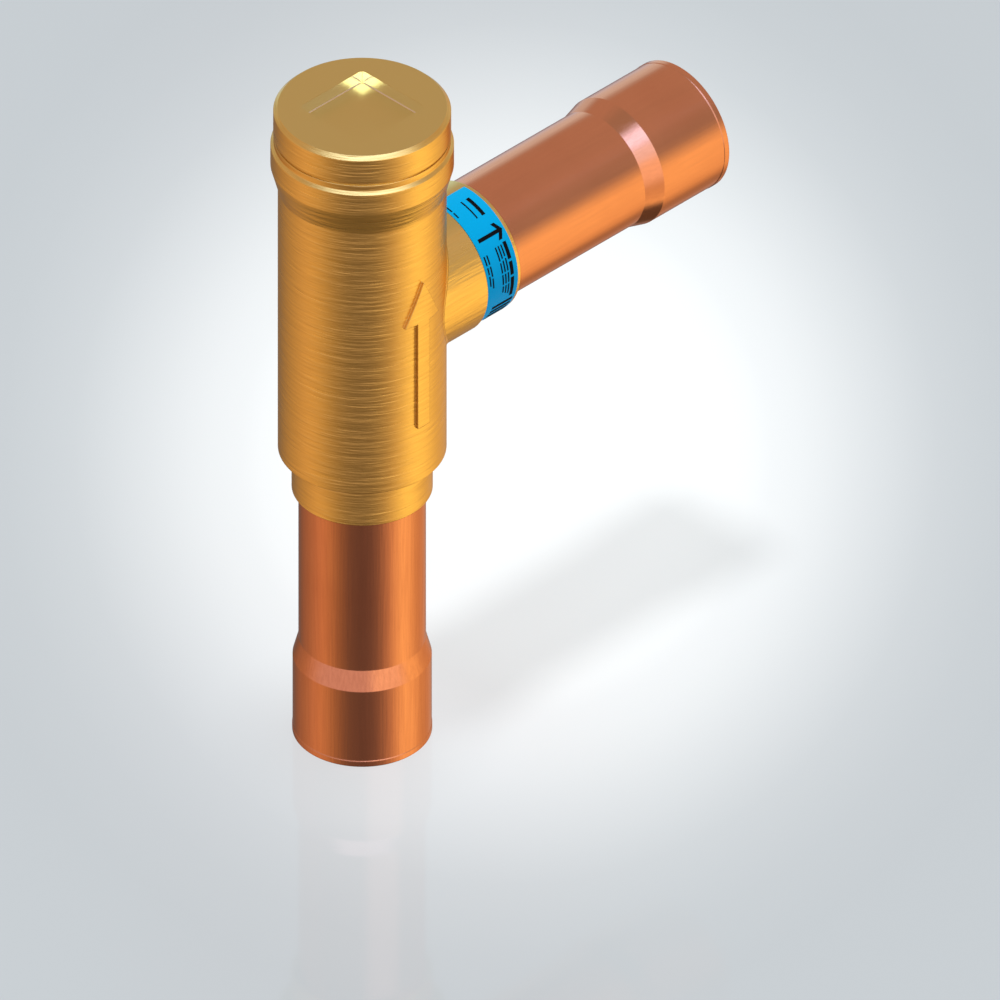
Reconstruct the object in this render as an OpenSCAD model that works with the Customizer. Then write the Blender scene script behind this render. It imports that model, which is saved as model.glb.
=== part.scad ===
// Angle-way refrigerant non-return valve with brazing sockets.
// Millimetres. The origin is on the axis of the inlet tube, at its open end.
// +Z runs up along the barrel, and +X runs out along the side outlet.

/* [Copper ends] */
// Outside diameter of both copper tubes, and of the pipe that their sockets take
tube_d = 35; // [30:0.5:37]
// Wall of the copper tubes and sockets
tube_wall = 1.5; // [1:0.1:2]
// Copper that stands out of the brass at each end
tube_reach = 80.9; // [60:0.1:120]
// Depth of the copper tubes inside the brass
tube_insert = 12; // [8:0.5:13]
// Radial clearance of the pipe in a socket
socket_clearance = 0.1; // [0.05:0.05:0.2]
// Depth of the sockets
socket_depth = 25; // [15:0.5:35]
// Length of the cone between socket and tube
flare_l = 6.05; // [4:0.05:10]
// Length of the sized lip at the socket mouth
lip_l = 1.9; // [1:0.1:4]
// Height of the sized lip over the socket
lip_h = 0.12; // [0.05:0.01:0.3]
// Radial gap that the brazing alloy fills
braze_gap = 0.2; // [0.05:0.05:0.3]
// Distance from the brass rim down to the brazing alloy
braze_recess = 0.3; // [0.1:0.1:2]

/* [Seat and chamber] */
// Bore of the port under the seat
port_d = 31; // [27:0.5:34]
// Width of the seat face
seat_w = 1.3; // [0.8:0.1:2]
// Height of the seat lip over the chamber floor
seat_lip_h = 2; // [1:0.1:3]
// Height of the seat face over the lower end of the barrel
seat_height = 25.7; // [23:0.1:27]
// Radial room for flow between the piston and the chamber wall
flow_gap = 2.1; // [1.5:0.1:4]

/* [Body] */
// Wall of the barrel round the chamber
barrel_wall = 2.66; // [2:0.01:4]
// Length of the plain barrel
barrel_l = 87.5; // [80:0.1:100]
// Length of the cone under the flange
cone_l = 7.5; // [5:0.1:10]
// Length of the flange
flange_l = 7.5; // [6:0.1:10]
// Chamfer on the top edge of the flange
flange_chamfer = 0.88; // [0.3:0.01:1.5]
// Height of the plain rim above the flange
rim_h = 1.8; // [1:0.1:4]
// Wall of the flange round the cap thread
flange_wall = 2.89; // [2:0.01:4]
// Wall of the brass collars round the copper tubes
collar_wall = 1.68; // [1.3:0.01:2.5]
// Length of the brass collars
collar_l = 13.4; // [13:0.1:18]
// Radial step from the outlet collar up to the boss
boss_step = 0.82; // [0.4:0.01:1.5]
// Distance from the barrel axis to the end of the boss
boss_reach = 28.9; // [27:0.1:40]
// Height of the outlet axis over the lower end of the barrel
branch_height = 46.4; // [45:0.1:60]
// Edge break on the turned brass edges
edge_break = 0.3; // [0.1:0.05:0.5]

/* [Raised flow arrow] */
// Length of the arrow
arrow_l = 48; // [20:1:60]
// Width of the arrow head
arrow_w = 12.8; // [8:0.1:16]
// Length of the arrow head
arrow_head_l = 13; // [6:0.5:18]
// Width of the arrow shaft
arrow_shaft_w = 4.6; // [2:0.1:7]
// Height of the arrow over the barrel
arrow_h = 0.9; // [0.4:0.1:1.5]
// Height of the middle of the arrow over the lower end of the barrel
arrow_height = 42.7; // [35:0.1:50]

/* [Cap] */
// Radial ledge in the body that carries the piston guide
guide_ledge = 1.1; // [0.8:0.1:2]
// Radial step from the guide seat up to the cap bore
cap_bore_step = 0.7; // [0.4:0.1:1.5]
// Depth of the guide seat under the top of the body
guide_seat_depth = 14.1; // [13:0.1:16]
// Height of the narrow groove between the body and the cap
cap_groove = 0.8; // [0.4:0.1:2]
// Radial depth of this groove, in from the rim of the body
neck_setback = 0.3; // [0.1:0.05:1]
// Height of the cap above the groove
cap_h = 8.7; // [7:0.1:12]
// Radial setback of the cap from the flange
cap_setback = 0.78; // [0:0.01:2]
// Chamfer on the top edge of the cap
cap_chamfer = 1.15; // [0.3:0.05:2]
// Radial clearance between the cap and its bore
cap_clearance = 0.05; // [0.02:0.01:0.1]
// Wall of the cap spigot
spigot_wall = 5.1; // [4:0.1:7]
// Solid brass between the tool pocket and the hollow of the cap
cap_web = 8; // [4:0.5:10]
// Width of the square tool pocket
pocket_w = 24.5; // [16:0.5:28]
// Depth of the square tool pocket
pocket_depth = 4; // [2:0.1:5]
// Corner radius of the square tool pocket
pocket_corner_r = 1.5; // [0.5:0.1:4]
// Chamfer at the foot of the pocket's walls
pocket_chamfer = 0.3; // [0.1:0.05:0.8]
// Section of the cap seal ring
seal_d = 2.4; // [1.5:0.1:3]
// Side clearance of the seal ring in its groove
seal_side_gap = 0.2; // [0.1:0.05:0.4]
// Depth of the seal ring under the top of the body
seal_depth = 2.8; // [2.5:0.1:4]

/* [Piston] */
// Lift of the piston from its seat to its stop
lift = 16; // [8:0.5:18]
// Gap left between the piston and the end of the guide at full lift
stop_gap = 0.3; // [0.1:0.1:1]
// Thickness of the piston disc
disc_t = 5; // [4:0.1:7]
// Radial rim of the piston round the valve plate
plate_rim = 1; // [0.6:0.1:2]
// Height of the hub that centres the spring
hub_h = 2; // [1:0.1:4]
// Diameter of the piston stem
stem_d = 17.9; // [16:0.1:19]
// Radial running clearance of the stem in its guide
stem_clearance = 0.05; // [0.02:0.01:0.08]
// Wall of the hollow part of the stem
stem_wall = 2.95; // [2:0.05:4]
// Free height left over the stem at full lift
damping_gap = 2.5; // [1:0.1:4]
// Edge break on the stem, hub and disc
piston_break = 0.4; // [0.1:0.1:0.8]
// Height of the damping ring
ring_h = 2.5; // [1.5:0.1:4]
// Depth of the damping ring groove
ring_depth = 1.4; // [0.8:0.1:1.8]
// Distance from the top of the stem to the damping ring
ring_offset = 2.5; // [1.5:0.1:5]
// Radial running clearance of the damping ring in the guide
ring_clearance = 0.03; // [0.01:0.01:0.05]

/* [Valve plate] */
// Thickness of the valve plate
plate_t = 2.5; // [2:0.1:4]
// Depth of the plate pocket in the piston
plate_pocket = 1.5; // [1:0.1:1.9]
// Overlap of the valve plate past the seat lip
plate_overlap = 0.6; // [0.3:0.1:1.5]
// Radial clearance of the valve plate in its pocket
plate_clearance = 0.1; // [0.05:0.05:0.3]
// Diameter of the washer under the plate
washer_d = 18; // [12:0.5:22]
// Thickness of the washer
washer_t = 1.5; // [1:0.1:2.5]
// Diameter of the screw shank
screw_d = 5; // [4:0.5:6]
// Length of the screw shank
screw_l = 13; // [10:0.5:15]
// Width across the flats of the screw head
screw_af = 8; // [7:0.5:10]
// Height of the screw head
screw_head_h = 3.5; // [2.5:0.1:5]
// Radial clearance of the screw in the washer and plate
screw_clearance = 0.1; // [0.05:0.05:0.3]
// Unused depth of the screw hole
screw_runout = 2; // [1:0.5:3]
// Web between the screw hole and the hollow of the stem
stem_web = 3.5; // [2:0.5:6]

/* [Guide and spring] */
// Wall of the guide tube
guide_wall = 3; // [2:0.1:3.5]
// Thickness of the guide flange
guide_flange_t = 2; // [1.5:0.1:3]
// Radial clearance of the guide flange in its seat
guide_clearance = 0.1; // [0.05:0.05:0.2]
// Thickness of the closed end of the guide
guide_end_t = 4; // [3:0.1:6]
// Diameter of the bleed hole in the closed end
bleed_d = 1.5; // [0.8:0.1:2.5]
// Number of vent holes in the guide flange
vent_count = 4; // [2:1:8]
// Diameter of the vent holes
vent_d = 1.6; // [1:0.1:1.8]
// Wire of the return spring
wire_d = 1.4; // [1:0.1:1.8]
// Radial gap between the spring and the guide tube
spring_gap = 1.5; // [1:0.1:1.6]
// Radial gap between the spring and what centres its ends
spring_fit = 0.2; // [0.1:0.05:0.4]
// Active turns of the spring
spring_turns = 10; // [8:1:14]
// Pitch of the closed end turns over the wire
end_turn_gap = 0.1; // [0.05:0.05:0.3]

/* [Label] */
// Thickness of the label
label_t = 0.15; // [0.1:0.05:0.3]
// Thickness of the print on it
print_t = 0.06; // [0.04:0.01:0.1]
// Distance from the rim of the outlet collar to the label
label_edge = 1.4; // [0.6:0.1:2]
// Gap between the label and the boss
label_gap = 0.4; // [0.2:0.1:1]
// Angle that the label wraps round the collar
label_wrap = 188; // [120:1:200]
// Length of the printed flow arrow
mark_l = 9.1; // [5:0.1:9.5]
// Width of the head of the printed flow arrow
mark_w = 5; // [3:0.5:7]
// Distance that the head of the printed flow arrow sweeps back
mark_sweep = 1.5; // [0.8:0.1:3]
// Distance from the tip of the printed flow arrow to the edge of the label
mark_inset = 0.8; // [0.5:0.1:1.5]
// Stroke of the printed flow arrow
mark_stroke = 1.1; // [0.6:0.05:1.5]
// Height of a printed heading bar
heading_h = 1.2; // [0.8:0.1:1.5]
// Distance from the printed heading to the edge of the label
heading_inset = 1.6; // [0.8:0.1:2]
// Height of a printed line bar
line_h = 0.45; // [0.3:0.05:0.6]
// Distance between printed lines
line_pitch = 1.05; // [0.8:0.05:1.3]
// Margin between the print and the edges of the label
print_margin = 0.9; // [0.5:0.1:1.2]

/* [Hidden] */
$fn = 96;
// Length that a cutter runs past the face it cuts
past = 1;
// Sides of the drawn spring wire, and its steps per turn
wire_sides = 8;
steps_per_turn = 20;

BRASS = [0.80, 0.60, 0.27];
COPPER = [0.76, 0.44, 0.28];
STEEL = [0.68, 0.69, 0.71];
ALLOY = [0.78, 0.72, 0.55];
PTFE = [0.93, 0.92, 0.88];
RUBBER = [0.10, 0.10, 0.11];
LABEL_BLUE = [0.0, 0.65, 0.89];
INK = [0.03, 0.03, 0.04];

// Radii of the copper ends and of the brass round them
tube_r = tube_d / 2;
tube_bore_r = tube_r - tube_wall;
socket_r = tube_r + socket_clearance;
socket_outer_r = socket_r + tube_wall;
tube_hole_r = tube_r + braze_gap;
collar_r = tube_hole_r + collar_wall;
boss_r = collar_r + boss_step;

// Radii of the port, seat, piston and chamber, from the middle outwards
port_r = port_d / 2;
seat_outer_r = port_r + seat_w;
plate_r = seat_outer_r + plate_overlap;
plate_pocket_r = plate_r + plate_clearance;
disc_r = plate_r + plate_rim;
chamber_r = disc_r + flow_gap;
barrel_r = chamber_r + barrel_wall;
guide_seat_r = chamber_r + guide_ledge;
cap_bore_r = guide_seat_r + cap_bore_step;
flange_r = cap_bore_r + flange_wall;
spigot_r = cap_bore_r - cap_clearance;
cap_hollow_r = spigot_r - spigot_wall;
rim_r = flange_r - flange_chamfer;
neck_r = rim_r - neck_setback;
cap_r = flange_r - cap_setback;

// Heights of the body
collar_z = tube_reach;
barrel_z = collar_z + collar_l;
cone_z = barrel_z + barrel_l;
flange_z = cone_z + cone_l;
rim_z = flange_z + flange_l;
body_top_z = rim_z + rim_h;
branch_z = barrel_z + branch_height;
tube_stop_z = collar_z + tube_insert;
seat_z = barrel_z + seat_height;
floor_z = seat_z - seat_lip_h;
guide_seat_z = body_top_z - guide_seat_depth;
spigot_z = guide_seat_z + guide_flange_t;

// Heights of the cap
cap_z = body_top_z + cap_groove;
top_z = cap_z + cap_h;
pocket_z = top_z - pocket_depth;
seal_z = body_top_z - seal_depth;
seal_r = cap_bore_r - seal_d / 2;
seal_groove_r = cap_bore_r - seal_d;
seal_groove_w = seal_d + 2 * seal_side_gap;

// Distances along the outlet, from the barrel axis
body_end_x = boss_reach + collar_l;
tube_stop_x = body_end_x - tube_insert;
end_x = body_end_x + tube_reach;

// Heights and radii of the piston, resting on its seat
disc_z = seat_z + plate_t - plate_pocket;
hub_z = disc_z + disc_t;
stem_z = hub_z + hub_h;
guide_bore_top_z = spigot_z - guide_end_t;
guide_bottom_z = stem_z + lift + stop_gap;
stem_top_z = guide_bore_top_z - lift - damping_gap;
stem_r = stem_d / 2;
stem_bore_r = stem_r - stem_wall;
guide_bore_r = stem_r + stem_clearance;
guide_r = guide_bore_r + guide_wall;
ring_top_z = stem_top_z - ring_offset;
ring_groove_r = stem_r - ring_depth;
ring_r = guide_bore_r - ring_clearance;

// Screw, washer and plate under the piston
plate_top_z = seat_z + plate_t;
washer_z = seat_z - washer_t;
washer_hole_r = screw_d / 2 + screw_clearance;
screw_tip_z = washer_z + screw_l;
screw_hole_top_z = screw_tip_z + screw_runout;
stem_bore_z = screw_hole_top_z + stem_web;

// Spring between the piston disc and the guide flange
spring_inner_r = guide_r + spring_gap;
spring_mean_r = spring_inner_r + wire_d / 2;
spring_outer_r = spring_inner_r + wire_d;
// The turns are drawn with straight chords, so their inside comes a little nearer the axis
hub_r = spring_inner_r * cos(180 / steps_per_turn) - spring_fit;
vent_ring_r = (spring_outer_r + cap_hollow_r) / 2;
end_pitch = wire_d + end_turn_gap;
spring_low_z = hub_z + wire_d / 2;
spring_high_z = guide_seat_z - wire_d / 2;
active_pitch = (spring_high_z - spring_low_z - 2 * end_pitch) / spring_turns;

// Label and print
label_x0 = boss_reach + label_gap;
label_x1 = body_end_x - label_edge;
label_r = collar_r + label_t;
print_r = label_r + print_t;
// Angle of the middle of the printed arrow, round the outlet from +Y towards +Z
mark_angle = 136;

// A ring or disc turned about Z from a list of [radius, height] points
module turned(points) {
    rotate_extrude() polygon(points);
}

// Puts a shape that was drawn round Z onto the axis of the outlet, with its +Z along +X
module on_outlet(x = 0) {
    translate([x, 0, branch_z]) rotate([0, 90, 0]) children();
}

// One copper end, its socket mouth at z = 0 and its plain end upwards
module copper_end() {
    cone_top = socket_depth + flare_l;
    end = tube_reach + tube_insert;
    lip_r = socket_outer_r + lip_h;
    turned([
        [socket_r, 0], [lip_r - lip_h, 0], [lip_r, lip_h], [lip_r, lip_l - lip_h],
        [socket_outer_r, lip_l], [socket_outer_r, socket_depth], [tube_r, cone_top],
        [tube_r, end], [tube_bore_r, end], [tube_bore_r, cone_top], [socket_r, socket_depth]
    ]);
}

// The film of brazing alloy between a copper tube and its collar, its mouth at z = 0
module braze_film() {
    difference() {
        translate([0, 0, braze_recess]) cylinder(r = tube_hole_r, h = tube_insert - braze_recess);
        translate([0, 0, -past]) cylinder(r = tube_r, h = tube_insert + 2 * past);
    }
}

// Outside of the barrel with its inlet collar, cone and flange
module barrel_outside() {
    turned([
        [0, collar_z], [collar_r - edge_break, collar_z], [collar_r, collar_z + edge_break],
        [collar_r, barrel_z], [barrel_r - edge_break, barrel_z], [barrel_r, barrel_z + edge_break],
        [barrel_r, cone_z], [flange_r, flange_z], [flange_r, rim_z - flange_chamfer],
        [rim_r, rim_z], [rim_r, body_top_z], [0, body_top_z]
    ]);
}

// Outside of the outlet boss with its collar, from the barrel axis outwards
module boss_outside() {
    on_outlet() turned([
        [0, 0], [boss_r, 0], [boss_r, boss_reach - edge_break],
        [boss_r - edge_break, boss_reach], [collar_r, boss_reach],
        [collar_r, body_end_x - edge_break], [collar_r - edge_break, body_end_x], [0, body_end_x]
    ]);
}

// Port, seat lip, chamber, guide seat and cap bore, one above the other
module barrel_bores() {
    translate([0, 0, collar_z - past]) cylinder(r = tube_hole_r, h = tube_insert + past);
    translate([0, 0, tube_stop_z - past]) cylinder(r = port_r, h = seat_z - tube_stop_z + 2 * past);
    translate([0, 0, seat_z]) cylinder(r = chamber_r, h = guide_seat_z - seat_z + past);
    translate([0, 0, guide_seat_z]) cylinder(r = guide_seat_r, h = guide_flange_t + past);
    translate([0, 0, spigot_z]) cylinder(r = cap_bore_r, h = body_top_z - spigot_z + past);
    // The trough round the seat lip
    difference() {
        translate([0, 0, floor_z]) cylinder(r = chamber_r, h = seat_lip_h + past);
        translate([0, 0, floor_z - past]) cylinder(r = seat_outer_r, h = seat_lip_h + 3 * past);
    }
}

// Outlet passage and the hole for the outlet tube
module outlet_bores() {
    on_outlet() cylinder(r = tube_bore_r, h = tube_stop_x + past);
    on_outlet(tube_stop_x) cylinder(r = tube_hole_r, h = tube_insert + past);
}

// Outline of an upright arrow, centred, its tip along +Y
module arrow_outline(length, width, head, shaft) {
    tip = length / 2;
    neck = tip - head;
    polygon([
        [0, tip], [-width / 2, neck], [-shaft / 2, neck], [-shaft / 2, -tip],
        [shaft / 2, -tip], [shaft / 2, neck], [width / 2, neck]
    ]);
}

// The raised arrow on the -Y side of the barrel, rooted in the middle of its wall
module raised_arrow() {
    root = chamber_r + barrel_wall / 3;
    intersection() {
        translate([0, -root, barrel_z + arrow_height]) rotate([90, 0, 0])
            linear_extrude(height = barrel_wall + arrow_h + past)
                arrow_outline(arrow_l, arrow_w, arrow_head_l, arrow_shaft_w);
        translate([0, 0, barrel_z]) cylinder(r = barrel_r + arrow_h, h = barrel_l);
    }
}

// Forged and turned brass body
module valve_body() color(BRASS) {
    difference() {
        union() {
            barrel_outside();
            boss_outside();
            raised_arrow();
        }
        barrel_bores();
        outlet_bores();
    }
}

// A square with round corners
module rounded_square(width, corner_r) {
    inner = width - 2 * corner_r;
    square([width, inner], center = true);
    square([inner, width], center = true);
    for (x = [-1, 1], y = [-1, 1])
        translate([x * inner / 2, y * inner / 2]) circle(r = corner_r);
}

// A prism along Y whose lower edges follow the chamfer of the pocket, down to a floor
module pocket_prism(floor_drop) {
    half = pocket_w / 2;
    foot = half - pocket_chamfer - floor_drop;
    rotate([90, 0, 0]) linear_extrude(height = 2 * pocket_w, center = true) polygon([
        [-foot, pocket_z - floor_drop], [foot, pocket_z - floor_drop],
        [half + past, pocket_z + pocket_chamfer + past], [half + past, top_z + past],
        [-half - past, top_z + past], [-half - past, pocket_z + pocket_chamfer + past]
    ]);
}

// The square pocket that takes the cap's driver
module tool_pocket() {
    intersection() {
        translate([0, 0, pocket_z - past]) linear_extrude(height = pocket_depth + 3 * past)
            rounded_square(pocket_w, pocket_corner_r);
        pocket_prism(0);
        rotate([0, 0, 90]) pocket_prism(past);
    }
}

// Screwed brass cap with its spigot, neck, seal groove, hollow and square tool pocket
module end_cap() color(BRASS) {
    difference() {
        turned([
            [0, spigot_z], [spigot_r, spigot_z], [spigot_r, body_top_z],
            [neck_r, body_top_z], [neck_r, cap_z], [cap_r, cap_z], [cap_r, top_z - cap_chamfer],
            [cap_r - cap_chamfer, top_z], [0, top_z]
        ]);
        translate([0, 0, spigot_z - past])
            cylinder(r = cap_hollow_r, h = pocket_z - cap_web - spigot_z + past);
        tool_pocket();
        difference() {
            translate([0, 0, seal_z - seal_groove_w / 2])
                cylinder(r = cap_bore_r + past, h = seal_groove_w);
            translate([0, 0, seal_z - seal_groove_w])
                cylinder(r = seal_groove_r, h = 2 * seal_groove_w);
        }
    }
}

// Rubber ring that seals the cap in the body
module cap_seal_ring() color(RUBBER) {
    translate([0, 0, seal_z]) rotate_extrude() translate([seal_r, 0]) circle(d = seal_d, $fn = 32);
}

module inlet_tube() color(COPPER) copper_end();

module outlet_tube() color(COPPER) {
    translate([end_x, 0, branch_z]) rotate([0, -90, 0]) copper_end();
}

module inlet_braze() color(ALLOY) {
    translate([0, 0, collar_z]) braze_film();
}

module outlet_braze() color(ALLOY) {
    translate([body_end_x, 0, branch_z]) rotate([0, -90, 0]) braze_film();
}

// Flanged cup that guides the stem and damps it, clamped under the cap
module piston_guide() color(BRASS) {
    difference() {
        turned([
            [guide_bore_r, guide_bottom_z], [guide_r, guide_bottom_z],
            [guide_r, guide_seat_z - hub_h], [hub_r, guide_seat_z - hub_h], [hub_r, guide_seat_z],
            [guide_seat_r - guide_clearance, guide_seat_z], [guide_seat_r - guide_clearance, spigot_z],
            [0, spigot_z], [0, guide_bore_top_z], [guide_bore_r, guide_bore_top_z]
        ]);
        translate([0, 0, guide_bore_top_z - past]) cylinder(d = bleed_d, h = guide_end_t + 2 * past);
        for (i = [0 : vent_count - 1])
            rotate([0, 0, (i + 0.5) * 360 / vent_count]) translate([vent_ring_r, 0, guide_seat_z - past])
                cylinder(d = vent_d, h = guide_flange_t + 2 * past);
    }
}

// Brass piston: disc, spring hub and hollow stem
module piston() color(BRASS) {
    ring_bottom_z = ring_top_z - ring_h;
    difference() {
        turned([
            [0, disc_z], [disc_r - piston_break, disc_z], [disc_r, disc_z + piston_break],
            [disc_r, hub_z - piston_break], [disc_r - piston_break, hub_z],
            [hub_r, hub_z], [hub_r, stem_z - piston_break], [hub_r - piston_break, stem_z],
            [stem_r, stem_z], [stem_r, ring_bottom_z], [ring_groove_r, ring_bottom_z],
            [ring_groove_r, ring_top_z], [stem_r, ring_top_z], [stem_r, stem_top_z - piston_break],
            [stem_r - piston_break, stem_top_z], [0, stem_top_z]
        ]);
        translate([0, 0, disc_z - past]) cylinder(r = plate_pocket_r, h = plate_pocket + past);
        translate([0, 0, plate_top_z - past])
            cylinder(d = screw_d, h = screw_hole_top_z - plate_top_z + past);
        translate([0, 0, stem_bore_z]) cylinder(r = stem_bore_r, h = stem_top_z - stem_bore_z + past);
    }
}

// Plastic ring that slides in the guide
module damping_ring() color(PTFE) {
    translate([0, 0, ring_top_z - ring_h]) difference() {
        cylinder(r = ring_r, h = ring_h);
        translate([0, 0, -past]) cylinder(r = ring_groove_r, h = ring_h + 2 * past);
    }
}

// Plastic disc that closes on the seat
module valve_plate() color(PTFE) {
    difference() {
        translate([0, 0, seat_z]) cylinder(r = plate_r, h = plate_t);
        translate([0, 0, seat_z - past]) cylinder(r = washer_hole_r, h = plate_t + 2 * past);
    }
}

module plate_washer() color(STEEL) {
    translate([0, 0, washer_z]) difference() {
        cylinder(d = washer_d, h = washer_t);
        translate([0, 0, -past]) cylinder(r = washer_hole_r, h = washer_t + 2 * past);
    }
}

// Hexagon screw that holds the valve plate
module plate_screw() color(STEEL) {
    translate([0, 0, washer_z - screw_head_h])
        cylinder(d = screw_af / cos(30), h = screw_head_h, $fn = 6);
    translate([0, 0, washer_z - screw_head_h / 2]) cylinder(d = screw_d, h = screw_l + screw_head_h / 2);
}

// Height of the wire above its lowest turn, after a number of turns, with one closed turn at each end
function wire_height(turn) =
    end_pitch * min(turn, 1)
    + active_pitch * min(max(turn - 1, 0), spring_turns)
    + end_pitch * max(turn - 1 - spring_turns, 0);

// Compression spring, swept along its helix
module return_spring() color(STEEL) {
    total_turns = spring_turns + 2;
    rings = total_turns * steps_per_turn + 1;
    points = [
        for (i = [0 : rings - 1], j = [0 : wire_sides - 1])
            let (
                turn = i / steps_per_turn,
                around = 360 * turn,
                side = 360 * j / wire_sides,
                r = spring_mean_r + wire_d / 2 * cos(side),
                z = spring_low_z + wire_height(turn) + wire_d / 2 * sin(side)
            )
            [r * cos(around), r * sin(around), z]
    ];
    sides = [
        for (i = [0 : rings - 2], j = [0 : wire_sides - 1])
            let (k = (j + 1) % wire_sides, a = i * wire_sides, b = a + wire_sides)
            [a + j, a + k, b + k, b + j]
    ];
    start = [for (j = [wire_sides - 1 : -1 : 0]) j];
    finish = [for (j = [0 : wire_sides - 1]) (rings - 1) * wire_sides + j];
    polyhedron(points = points, faces = concat(sides, [start, finish]), convexity = 12);
}

// A strip wrapped on the outlet collar, between two radii, two places along X and two angles
module wrapped_strip(inner_r, outer_r, x0, x1, angle, sweep) {
    translate([x0, 0, branch_z]) rotate([0, 90, 0]) rotate([0, 0, angle - 270])
        rotate_extrude(angle = sweep) translate([inner_r, 0]) square([outer_r - inner_r, x1 - x0]);
}

module flow_label() color(LABEL_BLUE) {
    wrapped_strip(collar_r, label_r, label_x0, label_x1, 180 - label_wrap / 2, label_wrap);
}

// A printed bar: its lower side along X, its height, and its first and last angle
module print_bar(x, height, first, last) {
    wrapped_strip(label_r, print_r, x, x + height, first, last - first);
}

// A row of printed bars, as a line of words: lengths in degrees, with a gap between them
module print_words(x, height, first, words, gap) {
    for (i = [0 : len(words) - 1])
        let (before = [for (j = [0 : 1 : i - 1]) words[j] + gap])
        let (begin = first + (len(before) > 0 ? before * [for (b = before) 1] : 0))
            print_bar(x, height, begin, begin + words[i]);
}

// The printed open arrow that points along the flow
module print_arrow() {
    long = label_x1 - mark_inset;
    intersection() {
        difference() {
            on_outlet() cylinder(r = print_r, h = body_end_x);
            on_outlet(-past) cylinder(r = label_r, h = body_end_x + 2 * past);
        }
        translate([long, 0, branch_z]) rotate([mark_angle - 90, 0, 0])
            linear_extrude(height = 2 * print_r) open_arrow_outline();
    }
}

// Open arrow with its tip at the origin, pointing along +X
module open_arrow_outline() {
    half = mark_w / 2;
    back = mark_sweep;
    bar = mark_stroke * norm([half, back]) / half;
    translate([-mark_l, -mark_stroke / 2]) square([mark_l - bar / 2, mark_stroke]);
    polygon([[0, 0], [-back, half], [-back - bar, half], [-bar, 0], [-back - bar, -half], [-back, -half]]);
}

// Generic print: a flow arrow, a bold line, plain lines and a block of bars
module label_print() color(INK) {
    heading_x = label_x1 - heading_inset - heading_h;
    low_x = label_x0 + print_margin;
    across = label_x1 - label_x0 - 2 * print_margin;
    print_arrow();
    print_words(heading_x, heading_h, 146, [15, 12, 19], 2.4);
    for (i = [1 : 3])
        print_words(heading_x - i * line_pitch, line_h, 147, [9 + i, 12 - i, 9, 12 - 2 * i], 1.8);
    for (i = [0 : 1])
        print_words(low_x + i * line_pitch, line_h, 149, [8, 6 + 3 * i, 9], 1.8);
    // Plain bold stripes at the upper end
    print_bar(heading_x - line_pitch, heading_h, 99, 119);
    print_bar(heading_x - 3 * line_pitch, line_h, 99, 119);
    print_words(low_x, line_h, 96, [7, 6], 1.8);
    // Bars across the label at the lower end
    for (i = [0 : 3])
        print_bar(low_x + 2 * line_pitch, across - 2 * line_pitch, 201 + 6 * i, 204.5 + 6 * i);
}

valve_body();
end_cap();
cap_seal_ring();
inlet_tube();
outlet_tube();
inlet_braze();
outlet_braze();
piston_guide();
return_spring();
piston();
damping_ring();
valve_plate();
plate_washer();
plate_screw();
flow_label();
label_print();
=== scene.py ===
"""Looks of the angle-way refrigerant non-return valve, laid out as a Blender add-on.

Metres. +Z runs up the barrel from the open end of the inlet tube, and +X along the side outlet.
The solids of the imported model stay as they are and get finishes. Three pieces are added: the
rolled fillet round the outlet boss, the return spring's round wire, and the plate screw.
"""

import math

import bmesh
import bpy
from mathutils import Matrix, Vector


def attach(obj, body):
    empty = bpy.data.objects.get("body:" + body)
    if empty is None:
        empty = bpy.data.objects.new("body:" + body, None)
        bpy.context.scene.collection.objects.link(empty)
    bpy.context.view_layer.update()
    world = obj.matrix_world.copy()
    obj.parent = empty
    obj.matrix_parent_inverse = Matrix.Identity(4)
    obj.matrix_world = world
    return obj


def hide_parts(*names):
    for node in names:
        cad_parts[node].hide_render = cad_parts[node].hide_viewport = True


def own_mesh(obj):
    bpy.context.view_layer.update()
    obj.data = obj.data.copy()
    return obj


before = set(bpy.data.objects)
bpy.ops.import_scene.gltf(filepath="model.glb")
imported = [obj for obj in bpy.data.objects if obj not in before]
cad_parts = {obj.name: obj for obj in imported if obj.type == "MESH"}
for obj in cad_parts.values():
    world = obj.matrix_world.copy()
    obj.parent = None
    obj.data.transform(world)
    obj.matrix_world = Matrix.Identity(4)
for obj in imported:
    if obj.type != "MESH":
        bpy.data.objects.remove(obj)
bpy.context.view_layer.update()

bl_info = {
    "name": "Refrigerant non-return valve",
    "version": (1, 0, 0),
    "blender": (4, 5, 0),
    "location": "3D View > Sidebar > Valve",
    "description": "Finishes, small pieces and studio for a brass valve with copper ends",
    "category": "Object",
}

MM = 0.001

# Sizes of the solids that the new pieces sit on
BARREL_R = 23.16 * MM
BOSS_R = 20.2 * MM
BRANCH_Z = 140.7 * MM
SPRING_FOOT_Z = 126.0 * MM
GUIDE_SEAT_Z = 184.5 * MM
SPRING_MEAN_R = 14.2 * MM
SEAT_Z = 120.0 * MM
WASHER_T = 1.5 * MM
POCKET_Z = 204.1 * MM
POCKET_W = 24.5 * MM
POCKET_CORNER_R = 1.5 * MM
CAP_TOP_Z = 208.1 * MM

# How the new pieces are made
MERGE_GAP = 1e-7
CLOSE = 1e-6
FILLET_SIDES = 12
FILLET_ARC_STEPS = 9
FILLET_PROUD = 0.004 * MM
FILLET_BURY = 0.35 * MM
WIRE_SIDES = 14
TURN_STEPS = 48
SHANK_SIDES = 40
SHANK_POINT = 0.5 * MM
SHANK_OVERLAP = 0.5 * MM
HEAD_CHAMFER = 0.45 * MM
HEAD_CORNER = 0.15 * MM
HEAD_RIM = 1.0 * MM
HEAD_DISH = 0.45 * MM
HEAD_DISH_WALL = 0.35 * MM

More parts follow.
